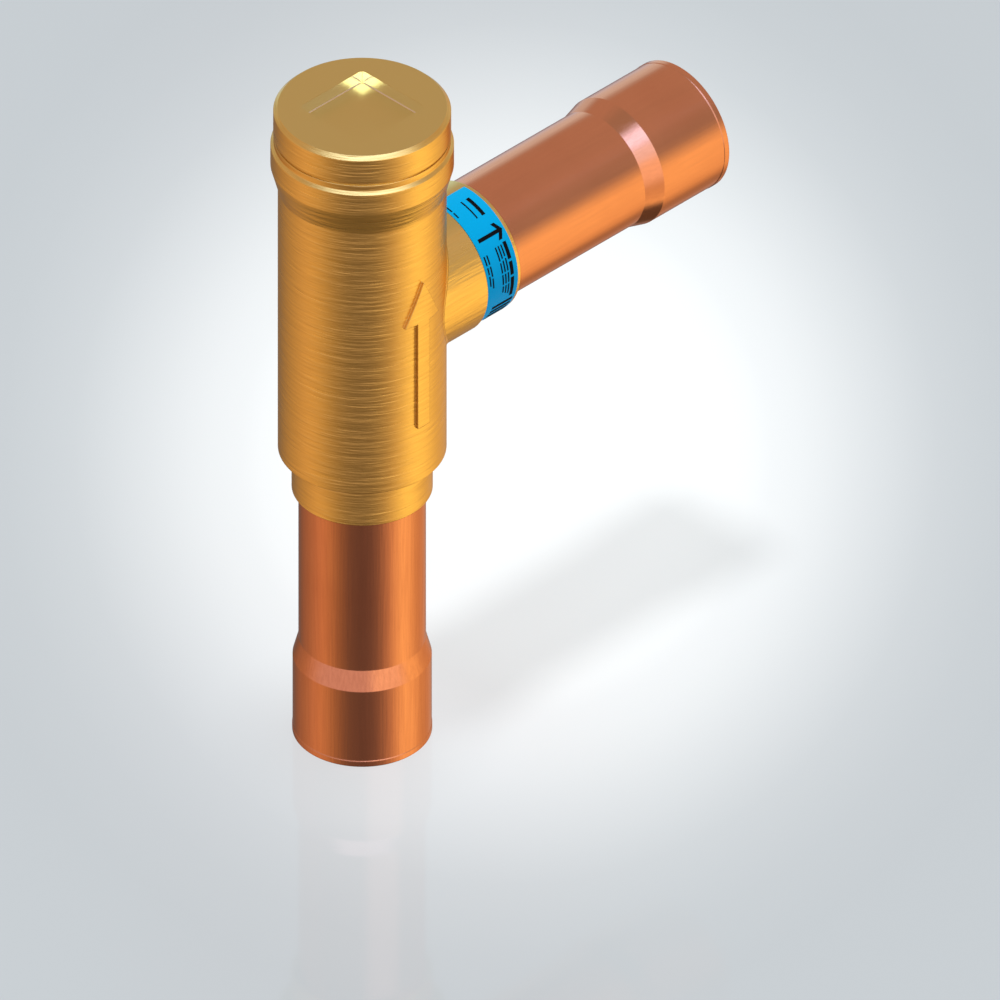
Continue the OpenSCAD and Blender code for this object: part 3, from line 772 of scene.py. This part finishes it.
def hexagon_screw(pieces):
    """Hexagon screw with a dished head, softened corners and a pointed shank."""
    washer_z = SEAT_Z - WASHER_T
    head_z = washer_z - pieces.screw_head_h
    bm = bmesh.new()
    made = bmesh.ops.create_circle(
        bm, cap_ends=True, segments=6, radius=pieces.screw_af / 2 / math.cos(math.pi / 6),
        matrix=Matrix.Translation((0, 0, head_z)),
    )
    face = made["verts"][0].link_faces[0]
    raised = bmesh.ops.extrude_face_region(bm, geom=[face], use_keep_orig=True)
    bmesh.ops.translate(bm, vec=(0, 0, pieces.screw_head_h), verts=verts_of(raised["geom"]))
    soften(bm, face.edges[:], HEAD_CHAMFER, 3)
    lowest = min(bm.faces, key=lambda item: item.calc_center_median().z)
    bmesh.ops.inset_individual(bm, faces=[lowest], thickness=HEAD_RIM)
    bmesh.ops.inset_individual(bm, faces=[lowest], thickness=HEAD_DISH_WALL, depth=-HEAD_DISH)
    upright = []
    for edge in bm.edges:
        one, other = (vert.co for vert in edge.verts)
        if abs(one.xy.length - other.xy.length) < CLOSE and abs(one.z - other.z) > 1 * MM:
            upright.append(edge)
    soften(bm, upright, HEAD_CORNER, 2)
    shank_top = washer_z + pieces.screw_l
    shank_foot = washer_z - SHANK_OVERLAP
    shank = bmesh.ops.create_cone(
        bm, cap_ends=True, segments=SHANK_SIDES, radius1=pieces.screw_d / 2,
        radius2=pieces.screw_d / 2, depth=shank_top - shank_foot,
        matrix=Matrix.Translation((0, 0, (shank_top + shank_foot) / 2)),
    )
    tip = [
        edge for edge in {e for v in shank["verts"] for e in v.link_edges}
        if all(vert.co.z > shank_top - CLOSE for vert in edge.verts)
    ]
    soften(bm, tip, SHANK_POINT, 1)
    return bm


class VALVE_OT_brass(bpy.types.Operator):
    """Gives the body and the cap brushed brass, and the inner parts turned brass"""

    bl_idname = "valve.brass"
    bl_label = "Finish the brass"

    def execute(self, context):
        dress(finished("brushed_brass", brushed_brass), "valve_body", "end_cap")
        dress(finished("turned_brass", turned_brass), "piston_guide", "piston")
        return {"FINISHED"}


class VALVE_OT_copper(bpy.types.Operator):
    """Gives both tubes drawn copper, its marks along each tube, and the joints brazing alloy"""

    bl_idname = "valve.copper"
    bl_label = "Finish the copper ends"

    def execute(self, context):
        for tube, name, grain, strength in (
            ("inlet_tube", "copper_upright", (1500.0, 1500.0, 60.0), 1.5),
            ("outlet_tube", "copper_level", (60.0, 1500.0, 1500.0), 0.5),
        ):
            dress(finished(name, drawn_copper, name, grain, strength), tube)
        dress(finished("brazing_alloy", brazing_alloy), "inlet_braze", "outlet_braze")
        return {"FINISHED"}


class VALVE_OT_inner_parts(bpy.types.Operator):
    """Gives the plate, rings, washer, screw and spring their plastic, rubber, zinc and steel"""

    bl_idname = "valve.inner_parts"
    bl_label = "Finish the inner parts"

    def execute(self, context):
        dress(finished("white_plastic", white_plastic), "valve_plate", "damping_ring")
        dress(finished("seal_rubber", seal_rubber), "cap_seal_ring")
        dress(finished("zinc_plate", zinc_plate), "plate_washer", "plate_screw")
        dress(finished("spring_wire", spring_wire_steel), "return_spring")
        return {"FINISHED"}


class VALVE_OT_label(bpy.types.Operator):
    """Gives the label its blue film and its black print"""

    bl_idname = "valve.label"
    bl_label = "Finish the label"

    def execute(self, context):
        dress(finished("label_film", label_film), "flow_label")
        dress(finished("label_ink", label_ink), "label_print")
        return {"FINISHED"}


class VALVE_OT_boss_fillet(bpy.types.Operator):
    """Lays the rolled fillet into the corner between the barrel and the outlet boss"""

    bl_idname = "valve.boss_fillet"
    bl_label = "Add the boss fillet"

    def execute(self, context):
        brass = finished("brushed_brass", brushed_brass)
        bead = fillet_bead(context.scene.valve_pieces)
        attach(piece_from(bead, "boss_fillet", brass), "housing")
        return {"FINISHED"}


class VALVE_OT_coil_spring(bpy.types.Operator):
    """Winds the return spring's wire round the guide"""

    bl_idname = "valve.coil_spring"
    bl_label = "Wind the return spring"

    def execute(self, context):
        steel = finished("spring_wire", spring_wire_steel)
        wire = coiled_wire(context.scene.valve_pieces)
        spring = piece_from(wire, "coil_spring", steel)
        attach(spring, "housing")
        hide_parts("return_spring")
        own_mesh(spring)
        return {"FINISHED"}


class VALVE_OT_plate_screw(bpy.types.Operator):
    """Makes the hexagon screw that holds the valve plate"""

    bl_idname = "valve.plate_screw"
    bl_label = "Make the plate screw"

    def execute(self, context):
        zinc = finished("zinc_plate", zinc_plate)
        hexagon = hexagon_screw(context.scene.valve_pieces)
        screw = piece_from(hexagon, "hexagon_screw", zinc)
        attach(screw, "piston_assembly")
        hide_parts("plate_screw")
        return {"FINISHED"}


# Studio


# Keeps the floor out of the plane of the inlet's end
FLOOR_GAP = 0.02 * MM
FLOOR_HALF = 4.0
# The middle of the floor's glow, a painted pool of light, how far it reaches, and how bright it is
# by the share of that
GLOW_MIDDLE = Vector((0.1194, 0.0640, 0.0))
GLOW_REACH = 0.16
GLOW_STOPS = (
    (0.30, 1.0), (0.37, 0.96), (0.42, 0.885), (0.455, 0.79), (0.505, 0.715), (0.545, 0.63),
    (0.61, 0.47), (0.665, 0.345), (0.70, 0.265), (0.74, 0.18), (0.80, 0.115), (0.86, 0.06),
    (0.96, 0.015),
)
# Where the floor darkens less, by the distance from the valve's foot and along +X, and how much
FOOT_ROUND = (0.1, 0.025)
FOOT_ALONG = (0.04, 0.005)
FOOT_SHARE = 0.6
# Where the mirror image fades to the sides of the valve, and to which share
MIRROR_ASIDE = (0.09, 0.03)
MIRROR_SHARE = 0.3
MIRROR_ROUGHNESS = 0.06

# The lamp straight above, and the camera by its place along the picture's sides and back from it
LAMP_PLACE = (0.01, 0.0, 1.2)
LAMP_WIDTH = 0.14
CAMERA_PLACE = RIGHT * 0.03777 + UP * 0.06211 + BACK * 1.0
CAMERA_NEAR, CAMERA_FAR = 0.01, 20.0


def floor_material(studio):
    """A pale floor, brightest round the valve. Part of its colour is kept out of the shadow."""
    material = bpy.data.materials.new("studio_floor")
    material.use_nodes = True
    material.node_tree.nodes.clear()
    tree = Tree(material.node_tree)
    position = tree.add("ShaderNodeTexCoord").outputs["Object"]
    across = tree.math("SUBTRACT", tree.dot(position, RIGHT), GLOW_MIDDLE.dot(RIGHT))
    along = tree.math("SUBTRACT", tree.dot(position, (UP.x, UP.y, 0)), GLOW_MIDDLE.dot(UP))
    squares = [tree.math("POWER", side, 2.0) for side in (across, along)]
    reach = tree.math("SQRT", tree.math("ADD", *squares))
    near, far = Vector(studio.floor_near), Vector(studio.floor_far)
    # The floor's colour brightens towards the valve, in its shade and its glow alike: a painted pool
    # of light
    tint = tree.ramp(
        tree.ease(reach, 0.0, GLOW_REACH, interpolation="LINEAR"),
        [(place, far.lerp(near, bright)) for place, bright in GLOW_STOPS],
    )
    shade = tree.add("ShaderNodeBsdfDiffuse", {"Color": tint})
    glow = tree.add("ShaderNodeEmission", {"Color": tint, "Strength": 1.0})
    rays = tree.add("ShaderNodeLightPath").outputs
    seen = tree.math("MAXIMUM", rays["Is Camera Ray"], rays["Is Glossy Ray"])
    seen = tree.math("MAXIMUM", seen, rays["Is Transmission Ray"])
    # Round the foot, on the side away from the long shadow, the floor darkens less
    foot = tree.add("ShaderNodeVectorMath", {0: position}, operation="LENGTH").outputs["Value"]
    away = tree.ease(tree.dot(position, (1, 0, 0)), *FOOT_ALONG)
    foot = tree.math("MULTIPLY", tree.ease(foot, *FOOT_ROUND), away)
    lit = studio.floor_glow
    seen = tree.math("MULTIPLY", seen, tree.span(foot, lit, lit + FOOT_SHARE * (1.0 - lit)))
    pale = tree.layer(seen, shade, glow)
    white = rgba((1.0, 1.0, 1.0))
    shine = tree.add("ShaderNodeBsdfGlossy", {"Color": white, "Roughness": MIRROR_ROUGHNESS})
    aside = tree.math("ABSOLUTE", tree.dot(position, RIGHT))
    full = studio.floor_shine
    mirrored = tree.ease(aside, *MIRROR_ASIDE, MIRROR_SHARE * full, full)
    mirrored = tree.math("MULTIPLY", rays["Is Camera Ray"], mirrored)
    pale = tree.layer(mirrored, pale, shine)
    # From below the floor is clear
    under = tree.add("ShaderNodeNewGeometry").outputs["Backfacing"]
    both = tree.layer(under, pale, tree.add("ShaderNodeBsdfTransparent"))
    tree.add("ShaderNodeOutputMaterial", {"Surface": both.outputs[0]})
    return material


# The studio's walls as polished metal shows them, by the compass angle from the camera to its right
WALLS = (
    (-180, (0.27, 0.25, 0.27)), (-154, (0.25, 0.23, 0.23)), (-127, (0.44, 0.34, 0.30)),
    (-110, (0.52, 0.39, 0.29)), (-95, (0.63, 0.45, 0.32)), (-78, (0.77, 0.54, 0.34)),
    (-61, (0.65, 0.47, 0.28)), (-41, (0.37, 0.28, 0.19)), (-22, (0.20, 0.165, 0.155)),
    (0, (0.155, 0.13, 0.135)), (18, (0.20, 0.165, 0.165)), (32, (0.33, 0.26, 0.22)),
    (47, (0.62, 0.47, 0.34)), (62, (1.02, 0.82, 0.49)), (78, (1.31, 1.13, 0.62)),
    (97, (1.18, 0.98, 0.55)), (112, (0.90, 0.71, 0.42)), (128, (0.84, 0.65, 0.42)),
    (151, (0.88, 0.70, 0.56)), (180, (0.27, 0.25, 0.27)),
)

# The height angles over which the walls fade in from below and out above
WALLS_FOOT = (-62.0, -50.0)
WALLS_TOP = (20.0, -10.0)

# What metal shows above and below the walls, where no panel is, and the even light on the rest
ROOM = (0.42, 0.41, 0.42)
EVEN_LIGHT = (0.99, 1.01, 1.0)

# Soft patches over all of it: compass angle, half width, softness, height angle, half height,
# height softness, colour
PANELS = (
    ("upper back", -175.0, 95.0, 12.0, 38.0, 24.0, 12.0, (0.54, 0.475, 0.485)),
    ("back horizon", 180.0, 52.0, 14.0, 5.0, 10.0, 9.0, (0.56, 0.68, 0.95)),
    ("back window", -174.0, 20.0, 12.0, -3.0, 16.0, 9.0, (0.86, 1.33, 2.0)),
    ("front horizon", -22.0, 62.0, 22.0, -1.0, 18.0, 12.0, (0.80, 0.72, 0.86)),
    ("front right", 42.0, 26.0, 12.0, 12.0, 28.0, 12.0, (1.28, 1.18, 1.08)),
    ("upper right", 38.0, 28.0, 12.0, 35.0, 13.0, 9.0, (1.20, 1.45, 2.20)),
    ("dark floor", 0.0, 220.0, 6.0, -90.0, 34.0, 6.0, (0.145, 0.125, 0.11)),
    ("overhead front", 6.0, 68.0, 26.0, 62.0, 15.0, 9.0, (1.65, 2.45, 5.2)),
)

# The lamp beside the camera. It shows only after three bounces, in the corner of the tool pocket,
# and a world's Ray Depth counts one more than the bounces
CORNER_LAMP = ("corner lamp", 0.0, 8.0, 8.0, 35.0, 8.0, 8.0, (5.2, 7.4, 9.5))
CORNER_DEPTH = 3.5


def panel_mask(tree, compass, height, panel):
    """The mask of one row of the panels' table."""
    label, centre, half_width, softness, centre_height, half_height, height_softness, _ = panel
    mask = use_group(
        tree, "Light panel", compass=compass, height=height, centre=centre, half_width=half_width,
        softness=softness, centre_height=centre_height, half_height=half_height,
        height_softness=height_softness,
    )["Mask"]
    mask.node.label = label
    return mask


def studio_world(studio):
    """Even light for the surfaces, a pale backdrop for the camera and soft panels for the metal."""
    world = bpy.data.worlds.new("studio")
    bpy.context.scene.world = world
    world.use_nodes = True
    world.node_tree.nodes.clear()
    tree = Tree(world.node_tree)
    direction = tree.add("ShaderNodeTexCoord").outputs["Generated"]
    direction = tree.add("ShaderNodeVectorMath", {0: direction}, operation="NORMALIZE").outputs[0]
    sides = [tree.dot(direction, side) for side in (RIGHT, TOWARDS_CAMERA)]
    compass = tree.math("DEGREES", tree.math("ARCTAN2", *sides))
    height = tree.math("DEGREES", tree.math("ARCSINE", tree.dot(direction, (0, 0, 1))))
    rays = tree.add("ShaderNodeLightPath").outputs
    walls = tree.ramp(
        tree.math("MULTIPLY_ADD", compass, 1 / 360, 0.5),
        [(angle / 360 + 0.5, tint) for angle, tint in WALLS],
    )
    band = [tree.ease(height, *limits) for limits in (WALLS_FOOT, WALLS_TOP)]
    seen = tree.mix(tree.math("MULTIPLY", *band), ROOM, walls)
    for panel in PANELS:
        seen = tree.mix(panel_mask(tree, compass, height, panel), seen, panel[-1])
    lamp = panel_mask(tree, compass, height, CORNER_LAMP)
    late = tree.math("GREATER_THAN", rays["Ray Depth"], CORNER_DEPTH)
    seen = tree.tint(lamp, late, seen, CORNER_LAMP[-1])
    panels, even, backdrop = (
        tree.add("ShaderNodeBackground", {"Color": tint, "Strength": strength})
        for tint, strength in (
            (seen, 1.0), (rgba(EVEN_LIGHT), studio.sky), (rgba(studio.floor_far), 1.0),
        )
    )
    light = tree.layer(rays["Is Glossy Ray"], even, panels)
    whole = tree.layer(rays["Is Camera Ray"], light, backdrop)
    tree.add("ShaderNodeOutputWorld", {"Surface": whole.outputs[0]})


class VALVE_OT_studio(bpy.types.Operator):
    """Sets the floor, the light and the camera of the photograph"""

    bl_idname = "valve.studio"
    bl_label = "Set the studio"

    def execute(self, context):
        studio = context.scene.valve_studio
        bm = bmesh.new()
        low = Matrix.Translation((0.0, 0.0, -FLOOR_GAP))
        bmesh.ops.create_grid(bm, x_segments=1, y_segments=1, size=FLOOR_HALF, matrix=low)
        mesh = bpy.data.meshes.new("studio_floor")
        bm.to_mesh(mesh)
        bm.free()
        floor = bpy.data.objects.new("studio_floor", mesh)
        mesh.materials.append(floor_material(studio))
        floor.visible_glossy = False
        context.scene.collection.objects.link(floor)
        studio_world(studio)
        lamp = bpy.data.lights.new("overhead_light", "AREA")
        lamp.shape, lamp.size, lamp.energy = "DISK", LAMP_WIDTH, studio.key
        above = bpy.data.objects.new("overhead_light", lamp)
        above.location = LAMP_PLACE
        above.visible_glossy = False
        context.scene.collection.objects.link(above)
        lens = bpy.data.cameras.new("photo_camera")
        lens.type, lens.ortho_scale = "ORTHO", studio.view_width
        lens.clip_start, lens.clip_end = CAMERA_NEAR, CAMERA_FAR
        camera = bpy.data.objects.new("photo_camera", lens)
        turned = Matrix((RIGHT, UP, BACK)).transposed().to_4x4()
        camera.matrix_world = Matrix.Translation(CAMERA_PLACE) @ turned
        context.scene.collection.objects.link(camera)
        context.scene.camera = camera
        context.scene.view_settings.view_transform = "Standard"
        return {"FINISHED"}


class VALVE_PT_sidebar(bpy.types.Panel):
    """Lists the steps that dress the valve, with their settings"""

    bl_idname = "VALVE_PT_sidebar"
    bl_label = "Non-return valve"
    bl_space_type = "VIEW_3D"
    bl_region_type = "UI"
    bl_category = "Valve"

    def draw(self, context):
        for step in STEPS:
            self.layout.operator(step.bl_idname)
        for group in SETTINGS:
            settings = getattr(context.scene, group)
            box = self.layout.box()
            for name in settings.bl_rna.properties.keys():
                if name not in {"rna_type", "name"}:
                    box.prop(settings, name)


STEPS = (
    VALVE_OT_brass,
    VALVE_OT_copper,
    VALVE_OT_inner_parts,
    VALVE_OT_label,
    VALVE_OT_boss_fillet,
    VALVE_OT_coil_spring,
    VALVE_OT_plate_screw,
    VALVE_OT_studio,
)
SETTINGS = {
    "valve_pieces": ValvePieces,
    "valve_finishes": ValveFinishes,
    "valve_studio": ValveStudio,
}
CLASSES = (*SETTINGS.values(), *STEPS, VALVE_PT_sidebar)


def register():
    for item in CLASSES:
        bpy.utils.register_class(item)
    for name, group in SETTINGS.items():
        setattr(bpy.types.Scene, name, bpy.props.PointerProperty(type=group))


def unregister():
    for name in SETTINGS:
        delattr(bpy.types.Scene, name)
    for item in reversed(CLASSES):
        bpy.utils.unregister_class(item)


def main():
    """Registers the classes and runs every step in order."""
    register()
    bpy.ops.valve.brass()
    bpy.ops.valve.copper()
    bpy.ops.valve.inner_parts()
    bpy.ops.valve.label()
    bpy.ops.valve.boss_fillet()
    bpy.ops.valve.coil_spring()
    bpy.ops.valve.plate_screw()
    bpy.ops.valve.studio()


if __name__ == "__main__":
    main()
